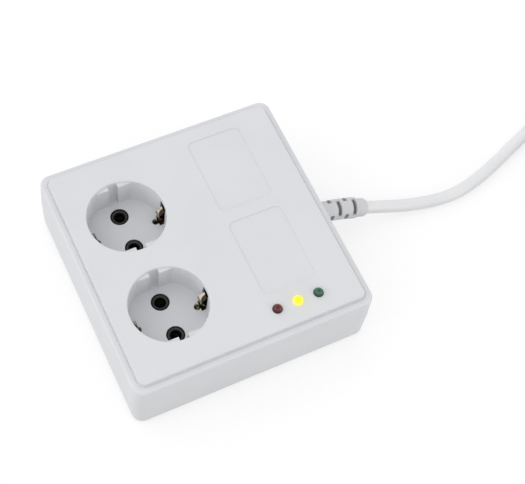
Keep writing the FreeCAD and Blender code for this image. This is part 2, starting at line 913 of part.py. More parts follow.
def strain_relief(cord):
    corner, way = relief_frame()
    flange_x = inner_x - relief_flange_sheet - relief_seat_gap
    flange = Part.makeCylinder(relief_flange / 2, relief_flange_sheet, V(flange_x, 0, parting_z), V(1, 0, 0))
    neck_length = housing_width / 2 + relief_seat_proud - flange_x
    neck = Part.makeCylinder(relief_neck / 2, neck_length, V(flange_x, 0, parting_z), V(1, 0, 0))
    start_gap = housing_width / 2 - corner.x
    start = corner + way * start_gap
    sleeve = Part.makeCone(relief_root / 2, relief_tip / 2, relief_length, start, way)
    tip = start + way * relief_length
    ends = [e for e in sleeve.Edges if (e.BoundBox.Center - tip).Length < relief_tip_round]
    sleeve = sleeve.makeFillet(relief_tip_round, ends)
    shoulder = Part.makeSphere(relief_root / 2, start)
    outside = box(housing_width / 2, housing_width, -relief_length, relief_length,
                  parting_z - relief_length, parting_z + relief_length)
    body = flange.fuse(neck).fuse(shoulder.common(outside)).fuse(sleeve.common(outside))
    turn = FreeCAD.Rotation(V(1, 0, 0), way) * FreeCAD.Rotation(V(1, 0, 0), relief_roll)
    for i in range(relief_slots):
        along = relief_first_slot + i * relief_slot_pitch
        wide, tall = (relief_slot_span, 2 * relief_root) if i % 2 else (2 * relief_root, relief_slot_span)
        cut = Part.makeBox(relief_slot, wide, tall, V(-relief_slot / 2, -wide / 2, -tall / 2))
        cut.Placement = FreeCAD.Placement(start + way * along, turn)
        body = body.cut(cut)
    return body.cut(cord)


# Coil
def coil_centre():
    """The coil lies to the right of the lead's last run and takes it up as a tangent."""
    points = cord_route()
    way = (points[-1] - points[-2]).normalize()
    entry = points[-1] + way * cord_diameter
    right = V(way.y, -way.x, 0)
    return entry + right * coil_outer_radius(), math.atan2(-right.y, -right.x), way


def coil_outer_radius():
    return coil_inner_radius + coil_pitch * coil_half_turns / 4


def coil_spot(turn, centre, start_angle):
    """A place on the coil, with turn counted from the start."""
    half = coil_half_turns / 4
    u = turn - half
    if abs(u) < 0.25:
        radius = coil_inner_radius + coil_pitch * (0.125 + 2 * u * u)
        rise = 0.5 + 0.5 * math.sin(2 * math.pi * u)
    else:
        radius = coil_inner_radius + coil_pitch * abs(u)
        rise = 0.0 if u < 0 else 1.0
    angle = start_angle - 2 * math.pi * turn
    return centre + V(radius * math.cos(angle), radius * math.sin(angle), coil_layer_rise * rise)


def coil_way(turn, centre, start_angle):
    """Direction of travel, level where the cord joins its straight ends."""
    step = 0.0005
    last = coil_half_turns / 2
    if turn < step or turn > last - step:
        angle = start_angle - 2 * math.pi * turn
        return V(math.sin(angle), -math.cos(angle), 0)
    ahead = coil_spot(turn + step, centre, start_angle)
    behind = coil_spot(turn - step, centre, start_angle)
    return (ahead - behind).normalize()


def biarc(start, way, end, end_way):
    """Two arcs that meet as tangents between two places with given directions."""
    gap = end - start
    both = way + end_way
    a = 2 * (1 - way.dot(end_way))
    b = gap.dot(both)
    reach = (-b + math.sqrt(b * b + a * gap.dot(gap))) / a
    first = start + way * reach
    second = end - end_way * reach
    joint = (first + second) * 0.5
    return [corner_arc(start, first, joint), corner_arc(joint, second, end)]


def corner_arc(start, corner, end):
    """Arc from start to end whose tangents meet at corner."""
    chord_middle = (start + end) * 0.5
    half_chord = (end - start).Length / 2
    height = (corner - chord_middle).Length
    sagitta = half_chord * math.tan(0.5 * math.atan2(height, half_chord))
    middle = chord_middle + (corner - chord_middle) * (sagitta / height)
    return Part.Arc(start, middle, end).toShape()


def coil_shape():
    centre, start_angle, way = coil_centre()
    edges = []
    spots = []
    count = coil_half_turns * coil_steps_per_turn // 2
    for i in range(count + 1):
        turn = i / coil_steps_per_turn
        spots.append((coil_spot(turn, centre, start_angle), coil_way(turn, centre, start_angle)))
    entry = spots[0][0] - way * cord_diameter
    edges.append(Part.LineSegment(entry, spots[0][0]).toShape())
    for i in range(count):
        edges += biarc(spots[i][0], spots[i][1], spots[i + 1][0], spots[i + 1][1])
    last, last_way = spots[-1]
    edges.append(Part.LineSegment(last, last + last_way * cord_diameter).toShape())
    path = Part.Wire(edges)
    body = tube(path, cord_diameter, entry, way)
    section = math.pi * cord_radius ** 2
    print("coil length", round(path.Length, 1), "volume against section times length",
          round(body.Volume / (section * path.Length), 4))
    print("coil least gap to itself", round(coil_gap(path), 2))
    return body, last + last_way * cord_diameter, last_way


def coil_gap(path):
    """Least distance between turns that are not next along the cord, less the diameter."""
    places = path.discretize(Number=700)
    step = path.Length / 699
    skip = int(3 * cord_diameter / step)
    least = path.Length
    for i in range(0, len(places), 2):
        for k in range(i + skip, len(places)):
            reach = (places[i] - places[k]).Length
            least = min(least, reach)
    return least - cord_diameter


# Plug
def place_plug(shape, mouth, way):
    """From the plug's own frame, with the cord's end at its origin, to where it lies."""
    angle = math.degrees(math.atan2(way.y, way.x))
    moved = shape.copy()
    moved.rotate(V(0, 0, 0), V(0, 0, 1), angle)
    moved.translate(V(mouth.x, mouth.y, 0))
    return moved


def plug_centre_x():
    return plug_neck_length + plug_back_radius - plug_neck_merge


def plug_pin_spots():
    return [(plug_centre_x(), side * pin_pitch / 2) for side in (-1, 1)]


def plug_pins_local():
    solids = []
    face_z = plug_back_height + plug_insert_height
    radius = plug_pin_diameter / 2
    for x, y in plug_pin_spots():
        pin = post(x, y, face_z - plug_pin_seat, face_z + plug_pin_length - radius, radius)
        dome = Part.makeSphere(radius, V(x, y, face_z + plug_pin_length - radius))
        solids.append(pin.fuse(dome).removeSplitter())
    return solids


def plug_earth_local():
    solids = []
    half = plug_earth_width / 2
    face_z = plug_back_height + plug_insert_height
    for side in (-1, 1):
        outer = plug_centre_x() + side * (plug_insert_radius - plug_earth_sink + plug_earth_sheet)
        inner = plug_centre_x() + side * (plug_insert_radius - plug_earth_sink)
        solids.append(box(min(inner, outer), max(inner, outer), -half, half, plug_back_height,
                          face_z - plug_earth_short))
    return solids


def plug_neck(neck_z):
    """Tapered neck with grip rings, widening into the back."""
    root = Part.Wire(Part.Circle(V(0, 0, neck_z), V(1, 0, 0), plug_neck_tip).toShape())
    end_x = plug_neck_length + plug_neck_overrun
    end = Part.Wire(Part.Circle(V(end_x, 0, neck_z), V(1, 0, 0), plug_neck_root).toShape())
    neck = Part.makeLoft([root, end], True, True)
    for i in range(plug_rings):
        x = plug_ring_gap * (i + 1)
        outer = Part.makeCylinder(plug_neck_root + 2, plug_ring_cut, V(x, 0, neck_z), V(1, 0, 0))
        radius = plug_neck_tip + (plug_neck_root - plug_neck_tip) * x / plug_neck_length - plug_ring_depth
        inner = Part.makeCylinder(radius, plug_ring_cut, V(x, 0, neck_z), V(1, 0, 0))
        neck = neck.cut(outer.cut(inner))
    return neck


def plug_body_local(neck_z):
    cx = plug_centre_x()
    face_z = plug_back_height + plug_insert_height
    back = post(cx, 0, 0, plug_back_height, plug_back_radius)
    back = back.makeFillet(plug_back_round, level_edges(back, 0) + level_edges(back, plug_back_height))
    insert = post(cx, 0, plug_back_height - 1, face_z, plug_insert_radius)
    insert = insert.makeChamfer(plug_front_chamfer, level_edges(insert, face_z))
    body = back.fuse(plug_neck(neck_z)).fuse(insert)
    wide = 2 * plug_insert_radius
    for side in (-1, 1):
        inner = side * plug_flat
        outer = side * wide
        for x0, x1 in ((cx - wide, cx - plug_key / 2), (cx + plug_key / 2, cx + wide)):
            body = body.cut(box(x0, x1, min(inner, outer), max(inner, outer), plug_back_height, face_z + 1))
        sink = cx + side * (plug_insert_radius - plug_earth_sink)
        far = cx + side * wide
        half = plug_earth_width / 2 + plug_earth_gap
        body = body.cut(box(min(sink, far), max(sink, far), -half, half, plug_back_height,
                            face_z - plug_earth_short))
    for pin in plug_pins_local():
        body = body.cut(pin)
    return body


# Wires inside the housing
def wire(points, diameter, bend):
    path = rounded_path(points, [bend] * (len(points) - 2))
    return tube(path, diameter, points[0], (points[1] - points[0]).normalize())


def mains_wires():
    spread = cord_radius * core_spread_share
    low = parting_z - spread * core_low_share
    high = parting_z + spread * core_high_share
    bar_in = socket_x - busbar_reach
    bar_out = socket_x + busbar_reach + busbar_sheet
    link_x = socket_x + link_reach
    live_z = inside_z + live_lane_lift
    earth_z = inside_z + earth_lane_lift
    level = bar_in + bar_level_run
    live_x = sheath_end_x - live_straight
    neutral_x = sheath_end_x - neutral_straight
    earth_x = sheath_end_x - earth_straight
    live = [V(sheath_end_x, spread, low), V(live_x, spread, low), V(live_x - live_fall, live_lane, live_z),
            V(level + 2 * bar_slope_run, live_lane, live_z), V(level + bar_slope_run, live_lane, earth_z),
            V(level, live_lane, wire_z), V(bar_in, live_lane, wire_z)]
    neutral = [V(sheath_end_x, -spread, low), V(neutral_x, -spread, low),
               V(neutral_x - neutral_fall, neutral_lane, wire_z), V(bar_out, neutral_lane, wire_z)]
    earth = [V(sheath_end_x, 0, high), V(earth_x, 0, high), V(earth_x - earth_fall, earth_lane, earth_z),
             V(link_x, earth_lane, earth_z), V(link_x, earth_lane, link_z)]
    return {"live_wire": live, "neutral_wire": neutral, "earth_wire": earth}


def board_wire_routes():
    bar_in = socket_x - busbar_reach
    bar_out = socket_x + busbar_reach + busbar_sheet
    link_x = socket_x + link_reach
    x = board_centre_x - board_width / 2 + board_lane_inset
    level = bar_in + bar_level_run
    upper_z = inside_z + live_lane_lift + 3 * lane_step
    lower_z = upper_z - lane_step
    earth_z = inside_z + earth_lane_lift
    live = [V(x, board_live_lane, board_z), V(x, board_live_lane, upper_z),
            V(level + bar_slope_run - lane_step, board_live_lane, lower_z),
            V(level, board_live_lane, wire_z), V(bar_in, board_live_lane, wire_z)]
    neutral = [V(x, board_neutral_lane, board_z), V(x, board_neutral_lane, wire_z),
               V(bar_out, board_neutral_lane, wire_z)]
    earth = [V(x, board_earth_lane, board_z), V(x, board_earth_lane, earth_z),
             V(link_x, board_earth_lane, earth_z), V(link_x, board_earth_lane, link_z)]
    return [live, neutral, earth]


def build():
    os.makedirs("parts", exist_ok=True)
    save("top_cover", top_cover())
    save("base_shell", base_shell())
    for n, y in enumerate(socket_rows, 1):
        save("contact_carrier_%d" % n, contact_carrier(y))
        save("live_contact_%d" % n, contact(pin_places(y)[0], -1))
        save("neutral_contact_%d" % n, contact(pin_places(y)[1], 1))
        save("earth_strap_%d" % n, earth_strap(y))
        save("earth_clip_%d_left" % n, earth_clip(y, -1))
        save("earth_clip_%d_right" % n, earth_clip(y, 1))
    save("live_busbar", busbar(-1))
    save("neutral_busbar", busbar(1))
    save("earth_link", earth_link())
    save("circuit_board", circuit_board())
    for i in range(3):
        save("varistor_%d" % (i + 1), varistor(i))
    save("gas_discharge_tube", gas_discharge_tube())
    save("thermal_fuse", thermal_fuse())
    save("film_capacitor", film_capacitor())
    save("resistors", resistors())
    for colour, (x, y) in zip(("red", "yellow", "green"), lamp_places()):
        save("lamp_" + colour, lamp(x, y))
    save("lamp_leads", lamp_leads())
    for name, points in mains_wires().items():
        save(name, wire(points, wire_diameter, wire_bend))
    routes = board_wire_routes()
    save("board_wires", Part.makeCompound([wire(r, board_wire_diameter, board_wire_bend) for r in routes]))
    save("cover_screws", cover_screws())
    save("board_screws", board_screws())
    save("rubber_feet", rubber_feet())
    save("cord_clamp", clamp_bar_shape())
    save("clamp_screws", clamp_screws())
    cord = cord_run_shape()
    save("cord_run", cord)
    save("strain_relief", strain_relief(cord))
    coil, mouth, way = coil_shape()
    save("cord_coil", coil)
    save("plug_body", place_plug(plug_body_local(mouth.z), mouth, way))
    save("plug_pins", place_plug(Part.makeCompound(plug_pins_local()), mouth, way))
    save("plug_earth_contacts", place_plug(Part.makeCompound(plug_earth_local()), mouth, way))


build()
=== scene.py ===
import json
import math
import bpy
import bmesh
from mathutils import Matrix, Vector


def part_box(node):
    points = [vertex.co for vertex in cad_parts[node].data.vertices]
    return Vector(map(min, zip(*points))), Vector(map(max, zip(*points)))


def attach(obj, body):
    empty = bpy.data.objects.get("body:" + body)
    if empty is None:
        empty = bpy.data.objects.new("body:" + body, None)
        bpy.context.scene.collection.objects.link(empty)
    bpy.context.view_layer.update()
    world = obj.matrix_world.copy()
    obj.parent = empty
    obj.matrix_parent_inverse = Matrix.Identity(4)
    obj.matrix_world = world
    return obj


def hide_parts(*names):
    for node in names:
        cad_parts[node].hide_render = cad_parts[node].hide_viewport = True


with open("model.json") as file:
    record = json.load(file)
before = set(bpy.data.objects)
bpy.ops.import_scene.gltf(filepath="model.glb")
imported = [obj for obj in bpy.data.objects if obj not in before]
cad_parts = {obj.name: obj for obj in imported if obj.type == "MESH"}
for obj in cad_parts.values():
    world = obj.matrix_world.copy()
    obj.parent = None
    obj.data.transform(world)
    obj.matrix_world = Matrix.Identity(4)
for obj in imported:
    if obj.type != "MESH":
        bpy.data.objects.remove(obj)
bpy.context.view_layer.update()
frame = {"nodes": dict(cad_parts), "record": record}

MM = 0.001
HOUSING = "housing"
nodes = frame["nodes"]

# Lead: in millimetres and turns.
# Its route is that of the solids, with its first bend nearer the viewer.
CORD_DIAMETER = 6.8
CORD_FLOOR = 3.45
CORD_EXIT = (63.75, 0.0, 20.0)
CORD_ROUTE = [
    (45.4, 0.0, 20.0),
    (62.0, 0.0, 20.0),
    (80.0, -1.2, 15.6),
    (97.0, -4.0, 9.6),
    (120.0, -9.0, 3.9),
    (143.0, -12.5, CORD_FLOOR),
    (163.0, -8.6, CORD_FLOOR),
    (186.0, 0.2, CORD_FLOOR),
    (210.0, 9.7, CORD_FLOOR),
    (231.0, 18.2, CORD_FLOOR),
]
COIL_INNER_RADIUS = 26.5
COIL_PITCH = 7.5
COIL_RISE = 7.4
COIL_HALF_TURNS = 11
COIL_CROSSING = 0.25
COIL_POINTS_PER_TURN = 24

# Strain relief, in millimetres: places along the lead from the outside of the wall, and radii
RELIEF_OUTLINE = [
    (-4.0, 3.45), (-4.0, 7.3), (-3.8, 7.5), (-2.5, 7.5), (-2.3, 7.3), (-2.3, 5.5),
    (0.2, 5.5), (0.5, 5.45), (12.0, 5.5), (22.8, 5.65), (23.7, 5.5), (24.1, 5.1),
    (24.5, 4.95), (25.2, 5.0), (28.9, 4.85), (29.7, 4.5), (30.1, 3.9), (30.2, 3.45),
]
RELIEF_WALL_END = 0.5
RELIEF_SLOTS = [7.6, 12.1, 16.6, 21.2]
RELIEF_SLOT_WIDTH = 2.1
RELIEF_SLOT_EDGE = 0.12
RELIEF_SLOT_FLOOR = 3.9
RELIEF_SLOT_HALF_ANGLE = 50.0
RELIEF_ROLL = 24.0
RELIEF_SIDES = 96
RELIEF_SHARP_ANGLE = 40.0

# Sockets, in millimetres: each has two pin holes, and two clips in slots, either side of its middle
CARRIERS = ("contact_carrier_1", "contact_carrier_2")
PIN_PITCH = 19.0
# The pin mouth's radius also places the highlight painted on each hole's rim
PIN_MOUTH_RADIUS = 3.5
# The clip slots, where shade is painted inside: reach from each socket's middle, bottom and top
# heights, and spread of the shade
CLIP_SLOT_REACH = 21.4
CLIP_SLOT_BOTTOM = 20.5
CLIP_SLOT_TOP = 36.8
CLIP_SLOT_SHADE = 4.2
# Shade painted on each clip's slope: reach from each socket's middle, shift to the front, and spread
CLIP_SHADE_REACH = 18.9
CLIP_SHADE_FRONT = 1.7
CLIP_SHADE_SPREAD = 2.6

# Reach of the lit lamp's light painted on the cover, in millimetres
PAINTED_GLOW_REACH = 5.5

# Camera, as the photograph was taken: its right, down and forward directions
VIEW_RIGHT = (0.898397, -0.429729, 0.090645)
VIEW_DOWN = (-0.344748, -0.817901, -0.460638)
VIEW_FORWARD = (0.272088, 0.382585, -0.882948)
VIEW_PLACE = (-147.4, -255.8, 599.2)
FOCAL_PIXELS = 1285.0
PHOTO_WIDTH = 525.0
SENSOR_WIDTH = 36.0
CAMERA_NEAR = 0.05
CAMERA_FAR = 20.0

# Light: a soft sky that is brighter on one side, two round lamps, and a white floor, in metres
SKY_STRENGTH = 0.9
SKY_LEAN = 0.4
SKY_BRIGHT_SIDE = (-0.82, 0.57, 0.0)
KEY = {"where": (-1.5, 0.1, 0.6), "size": 1.2, "watts": 2.2}
FILL = {"where": (1.0, -1.0, 0.35), "size": 1.0, "watts": 4.4}
FLOOR_SIZE = 12.0
FLOOR_BOUNCE = (0.6, 0.6, 0.6)
FLOOR_SEEN = (0.42, 0.42, 0.42)
FLOOR_LIFT = 0.62
WHITE = (1.0, 1.0, 1.0)

# Finishes by material slot. Plastics: colour, roughness, and what differs from the usual.
PLASTICS = {
    "white_abs": ((0.735, 0.742, 0.765), 0.46, {}),
    "black_insert": ((0.007, 0.007, 0.008), 0.38,
                     {"grain": 0.5, "depth": 8e-6, "mottle": 0.15, "shine": 0.14}),
    "grey_pvc": ((0.66, 0.66, 0.675), 0.5, {"grain": 0.4}),
    "board_laminate": ((0.045, 0.20, 0.08), 0.3, {"grain": 0.8, "depth": 2e-5, "mottle": 0.15}),
    "varistor_coat": ((0.03, 0.15, 0.44), 0.3, {"grain": 1.2, "depth": 3e-5, "mottle": 0.1}),
    "ceramic": ((0.74, 0.71, 0.65), 0.25, {"mottle": 0.03}),
    "capacitor_case": ((0.60, 0.47, 0.07), 0.35, {"mottle": 0.04}),
    "resistor_coat": ((0.52, 0.39, 0.25), 0.3, {"mottle": 0.06}),
    "wire_brown": ((0.16, 0.07, 0.03), 0.4, {"mottle": 0.05}),
    "wire_blue": ((0.03, 0.12, 0.42), 0.4, {"mottle": 0.05}),
}
# Metals: bright colour, tarnished colour, roughness, and the stretch of the drawing marks
EVEN = (1.0, 1.0, 1.0)
LONG_IN_Y = (1.0, 0.05, 1.0)
LONG_IN_Z = (1.0, 1.0, 0.04)
METALS = {
    "contact_brass": ((0.24, 0.18, 0.09), (0.10, 0.07, 0.035), 0.4, LONG_IN_Y),
    "clip_brass": ((0.56, 0.50, 0.40), (0.34, 0.25, 0.13), 0.26, LONG_IN_Y),
    "steel": ((0.66, 0.66, 0.68), (0.42, 0.42, 0.43), 0.3, EVEN),
    "plug_metal": ((0.78, 0.76, 0.72), (0.60, 0.57, 0.52), 0.2, LONG_IN_Z),
}


def mm(point):
    return Vector(point) * MM


# Camera
def make_camera():
    data = bpy.data.cameras.new("camera")
    data.sensor_width = SENSOR_WIDTH
    data.lens = FOCAL_PIXELS / PHOTO_WIDTH * SENSOR_WIDTH
    data.clip_start = CAMERA_NEAR
    data.clip_end = CAMERA_FAR
    camera = bpy.data.objects.new("camera", data)
    axes = (Vector(VIEW_RIGHT), -Vector(VIEW_DOWN), -Vector(VIEW_FORWARD))
    matrix = Matrix(axes).transposed().to_4x4()
    matrix.translation = mm(VIEW_PLACE)
    camera.matrix_world = matrix
    bpy.context.scene.collection.objects.link(camera)
    bpy.context.scene.camera = camera


# Materials
def material(name):
    made = bpy.data.materials.new(name)
    made.use_nodes = True
    tree = made.node_tree
    return made, tree, tree.nodes["Principled BSDF"]


def add(tree, kind, **values):
    """A new node, with its properties and inputs set by name."""
    node = tree.nodes.new(kind)
    for key, value in values.items():
        if hasattr(node, key):
            setattr(node, key, value)
        else:
            node.inputs[key.replace("_", " ")].default_value = value
    return node


def place(tree):
    """Coordinates in metres, fixed to the object."""
    return add(tree, "ShaderNodeTexCoord").outputs["Object"]


def noise(tree, scale, detail=2.0, stretch=None, roughness=0.5):
    """Noise from 0 to 1 with a number of lumps to the metre."""
    where = place(tree)
    if stretch:
        mapping = add(tree, "ShaderNodeMapping")
        mapping.inputs["Scale"].default_value = stretch
        tree.links.new(where, mapping.inputs["Vector"])
        where = mapping.outputs["Vector"]
    node = add(tree, "ShaderNodeTexNoise")
    node.inputs["Scale"].default_value = scale
    node.inputs["Detail"].default_value = detail
    node.inputs["Roughness"].default_value = roughness
    tree.links.new(where, node.inputs["Vector"])
    return node.outputs["Fac"]


def ramp(tree, value, stops):
    """Colours at places from 0 to 1 along a value."""
    node = add(tree, "ShaderNodeValToRGB")
    marks = node.color_ramp.elements
    while len(marks) < len(stops):
        marks.new(0.5)
    for mark, (where, colour) in zip(marks, stops):
        mark.position = where
        mark.color = (*colour, 1.0)
    tree.links.new(value, node.inputs["Fac"])
    return node.outputs["Color"]


def spread(tree, value, low, high):
    """A value from 0 to 1 taken to the range low to high."""
    node = add(tree, "ShaderNodeMapRange")
    node.inputs["To Min"].default_value = low
    node.inputs["To Max"].default_value = high
    tree.links.new(value, node.inputs["Value"])
    return node.outputs["Result"]


def bump(tree, value, depth, normal=None):
    """Relief of a depth in metres."""
    node = add(tree, "ShaderNodeBump")
    node.inputs["Strength"].default_value = 1.0
    node.inputs["Distance"].default_value = depth
    tree.links.new(value, node.inputs["Height"])
    if normal:
        tree.links.new(normal, node.inputs["Normal"])
    return node.outputs["Normal"]


def shade(colour, factor):
    return tuple(c * factor for c in colour)


def grey(value):
    return (value, value, value)


def middle(node_name):
    """Middle of a solid's box, in metres."""
    low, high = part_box(node_name)
    return [(low[i] + high[i]) / 2 for i in range(3)]


def either_side(reach, front=0.0):
    """Places at a reach to the left and right of each socket's middle, in metres."""
    middles = [middle(name)[:2] for name in CARRIERS]
    return [(x + side * reach * MM, y - front * MM) for x, y in middles for side in (-1, 1)]


def from_axis(tree, x, y, reach):
    """Distance from an upright axis, as a share of a reach in metres."""
    shift = add(tree, "ShaderNodeVectorMath", operation="SUBTRACT")
    shift.inputs[1].default_value = (x, y, 0.0)
    flat = add(tree, "ShaderNodeVectorMath", operation="MULTIPLY")
    flat.inputs[1].default_value = (1.0 / reach, 1.0 / reach, 0.0)
    length = add(tree, "ShaderNodeVectorMath", operation="LENGTH")
    tree.links.new(place(tree), shift.inputs[0])
    tree.links.new(shift.outputs["Vector"], flat.inputs[0])
    tree.links.new(flat.outputs["Vector"], length.inputs[0])
    return length.outputs["Value"]


def nearest_axis(tree, places, reach):
    """Distance from the nearest of several upright axes, as a share of a reach in metres."""
    nearest = None
    for x, y in places:
        away = from_axis(tree, x, y, reach)
        if nearest:
            least = add(tree, "ShaderNodeMath", operation="MINIMUM")
            tree.links.new(nearest, least.inputs[0])
            tree.links.new(away, least.inputs[1])
            away = least.outputs[0]
        nearest = away
    return nearest


def between_heights(tree, low, high):
    """1 between two heights in metres, and 0 elsewhere."""
    axes = add(tree, "ShaderNodeSeparateXYZ")
    within = add(tree, "ShaderNodeMath", operation="COMPARE")
    within.inputs[1].default_value = (low + high) / 2
    within.inputs[2].default_value = (high - low) / 2
    tree.links.new(place(tree), axes.inputs[0])
    tree.links.new(axes.outputs["Z"], within.inputs[0])
    return within.outputs[0]


def tinted(tree, colour, where):
    """Lays a colour over the base colour, as far as a value from 0 to 1 says."""
    bsdf = tree.nodes["Principled BSDF"]
    base = bsdf.inputs["Base Color"].links[0].from_socket
    mix = add(tree, "ShaderNodeMixRGB")
    mix.inputs["Color2"].default_value = (*colour, 1.0)
    tree.links.new(where, mix.inputs["Fac"])
    tree.links.new(base, mix.inputs["Color1"])
    tree.links.new(mix.outputs["Color"], bsdf.inputs["Base Color"])


def moulded(name, colour, roughness, grain=0.35, depth=4e-6, mottle=0.02, shine=0.5):
    """Moulded plastic: a fine eroded grain, a slow unevenness of tone and a slightly uneven gloss."""
    made, tree, bsdf = material(name)
    slow = noise(tree, scale=38.0, detail=3.0)
    stops = [(0.25, shade(colour, 1 - mottle)), (0.75, shade(colour, 1 + mottle))]
    tree.links.new(ramp(tree, slow, stops), bsdf.inputs["Base Color"])
    patchy = noise(tree, scale=210.0, detail=4.0)
    gloss = spread(tree, patchy, low=roughness - 0.05, high=roughness + 0.05)
    tree.links.new(gloss, bsdf.inputs["Roughness"])
    wavy = bump(tree, noise(tree, scale=90.0, detail=1.0), depth=3e-5)
    grained = bump(tree, noise(tree, scale=1.0 / (grain * MM), detail=3.0), depth, wavy)
    tree.links.new(grained, bsdf.inputs["Normal"])
    bsdf.inputs["IOR"].default_value = 1.5
    bsdf.inputs["Specular IOR Level"].default_value = shine
    return made


def sheet_metal(name, bright, dull, roughness, stretch, tarnish=(0.45, 0.7)):
    """Stamped sheet with drawing marks along one way and patches of tarnish."""
    made, tree, bsdf = material(name)
    patches = noise(tree, scale=420.0, detail=5.0, roughness=0.65)
    stops = [(tarnish[0], bright), (tarnish[1], dull)]
    tree.links.new(ramp(tree, patches, stops), bsdf.inputs["Base Color"])
    lines = noise(tree, scale=2600.0, detail=2.0, stretch=stretch)
    gloss = spread(tree, lines, low=roughness - 0.08, high=roughness + 0.12)
    tree.links.new(gloss, bsdf.inputs["Roughness"])
    tree.links.new(bump(tree, lines, depth=3e-6), bsdf.inputs["Normal"])
    bsdf.inputs["Metallic"].default_value = 1.0
    return made


def rubber(name, colour):
    """Dull rubber with a fine tooth and dusty patches."""
    made, tree, bsdf = material(name)
    dusty = noise(tree, scale=300.0, detail=4.0)
    stops = [(0.3, shade(colour, 0.85)), (0.7, shade(colour, 1.2))]
    tree.links.new(ramp(tree, dusty, stops), bsdf.inputs["Base Color"])
    tooth = noise(tree, scale=3500.0, detail=3.0)
    tree.links.new(bump(tree, tooth, depth=1.5e-5), bsdf.inputs["Normal"])
    bsdf.inputs["Roughness"].default_value = 0.8
    return made


def sheath(name, colour, roughness):
    """Soft extruded sheath: slow swelling of the core below it, fine haze on its gloss."""
    made, tree, bsdf = material(name)
    slow = noise(tree, scale=60.0, detail=3.0)
    stops = [(0.3, shade(colour, 0.985)), (0.7, shade(colour, 1.01))]
    tree.links.new(ramp(tree, slow, stops), bsdf.inputs["Base Color"])
    haze = noise(tree, scale=500.0, detail=4.0)
    gloss = spread(tree, haze, low=roughness - 0.06, high=roughness + 0.08)
    tree.links.new(gloss, bsdf.inputs["Roughness"])
    swelling = bump(tree, noise(tree, scale=150.0, detail=2.0), depth=6e-5)
    skin = bump(tree, noise(tree, scale=2400.0, detail=3.0), depth=4e-6, normal=swelling)
    tree.links.new(skin, bsdf.inputs["Normal"])
    bsdf.inputs["Subsurface Weight"].default_value = 0.12
    bsdf.inputs["Subsurface Radius"].default_value = (0.0015, 0.0012, 0.001)
    return made


def lamp_dome(name, stops):
    """Slightly uneven epoxy dome, with colours from its middle to its rim."""
    made, tree, bsdf = material(name)
    low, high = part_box(name)
    x, y, _ = middle(name)
    colours = ramp(tree, from_axis(tree, x, y, (high[1] - low[1]) / 2), stops)
    tree.links.new(colours, bsdf.inputs["Base Color"])
    uneven = noise(tree, scale=500.0, detail=1.0)
    tree.links.new(bump(tree, uneven, depth=1e-5), bsdf.inputs["Normal"])
    bsdf.inputs["Specular IOR Level"].default_value = 0.3
    return made, tree, bsdf, colours


def unlit_lamp(name, core, cup, rim):
    """The chip shows dark in its brighter cup, and the rim is deep."""
    stops = [(0.0, core), (0.12, core), (0.4, cup), (0.5, cup), (0.8, rim), (1.0, rim)]
    made, _, bsdf, _ = lamp_dome(name, stops)
    bsdf.inputs["Roughness"].default_value = 0.14
    bsdf.inputs["IOR"].default_value = 1.54
    bsdf.inputs["Transmission Weight"].default_value = 0.15
    return made


def lit_lamp(name, core, rim):
    """The same dome lit from inside: saturated in the middle, paler towards the rim."""
    made, tree, bsdf, colours = lamp_dome(name, [(0.0, core), (0.55, core), (1.0, rim)])
    tree.links.new(colours, bsdf.inputs["Emission Color"])
    bsdf.inputs["Roughness"].default_value = 0.25
    bsdf.inputs["Emission Strength"].default_value = 0.5
    return made


def painted_lamp_glow(cover):
    """Painted light: the lit lamp's yellow laid on the white plastic close round it."""
    tree = cover.node_tree
    x, y, _ = middle("lamp_yellow")
    near = from_axis(tree, x, y, PAINTED_GLOW_REACH * MM)
    stops = [(0.0, grey(0.6)), (0.42, grey(0.55)), (0.62, grey(0.14)), (1.0, grey(0.0))]
    tinted(tree, (0.86, 0.84, 0.32), ramp(tree, near, stops))


def painted_pin_mouth_highlights(insert):
    """Painted highlight: a lighter grey ring on the rims of the four holes, where their edges catch the
    light.
    """
    tree = insert.node_tree
    middles = [middle(name)[:2] for name in CARRIERS]
    holes = [(x, y + side * PIN_PITCH / 2 * MM) for x, y in middles for side in (-1, 1)]
    nearest = nearest_axis(tree, holes, 2 * PIN_MOUTH_RADIUS * MM)
    none, some = grey(0.0), grey(0.8)
    ring = ramp(tree, nearest, [(0.40, none), (0.46, some), (0.51, some), (0.55, none)])
    tinted(tree, (0.085, 0.085, 0.088), ring)


def painted_slot_shade(cover):
    """Painted shade inside the slots that the clips spring into, under the rim of each recess."""
    tree = cover.node_tree
    nearest = nearest_axis(tree, either_side(CLIP_SLOT_REACH), CLIP_SLOT_SHADE * MM)
    none, full = grey(0.0), grey(0.95)
    near = ramp(tree, nearest, [(0.0, full), (0.72, full), (0.88, none), (1.0, none)])
    both = add(tree, "ShaderNodeMath", operation="MULTIPLY")
    tree.links.new(near, both.inputs[0])
    height = between_heights(tree, CLIP_SLOT_BOTTOM * MM, CLIP_SLOT_TOP * MM)
    tree.links.new(height, both.inputs[1])
    tinted(tree, (0.02, 0.02, 0.022), both.outputs[0])


def painted_clip_shade(spring):
    """Painted shade: a dark brown patch on the front half of each clip's slope."""
    tree = spring.node_tree
    places = either_side(CLIP_SHADE_REACH, CLIP_SHADE_FRONT)
    nearest = nearest_axis(tree, places, CLIP_SHADE_SPREAD * MM)
    none, full = grey(0.0), grey(0.95)
    patch = ramp(tree, nearest, [(0.0, full), (0.75, full), (0.9, none), (1.0, none)])
    tinted(tree, (0.022, 0.013, 0.006), patch)


def painted_hollow_shade(sleeve):
    """Painted shade in the slots, where the mesh marks itself hollow."""
    tree = sleeve.node_tree
    mark = add(tree, "ShaderNodeAttribute", attribute_name="hollow")
    tinted(tree, (0.22, 0.22, 0.225), mark.outputs["Fac"])


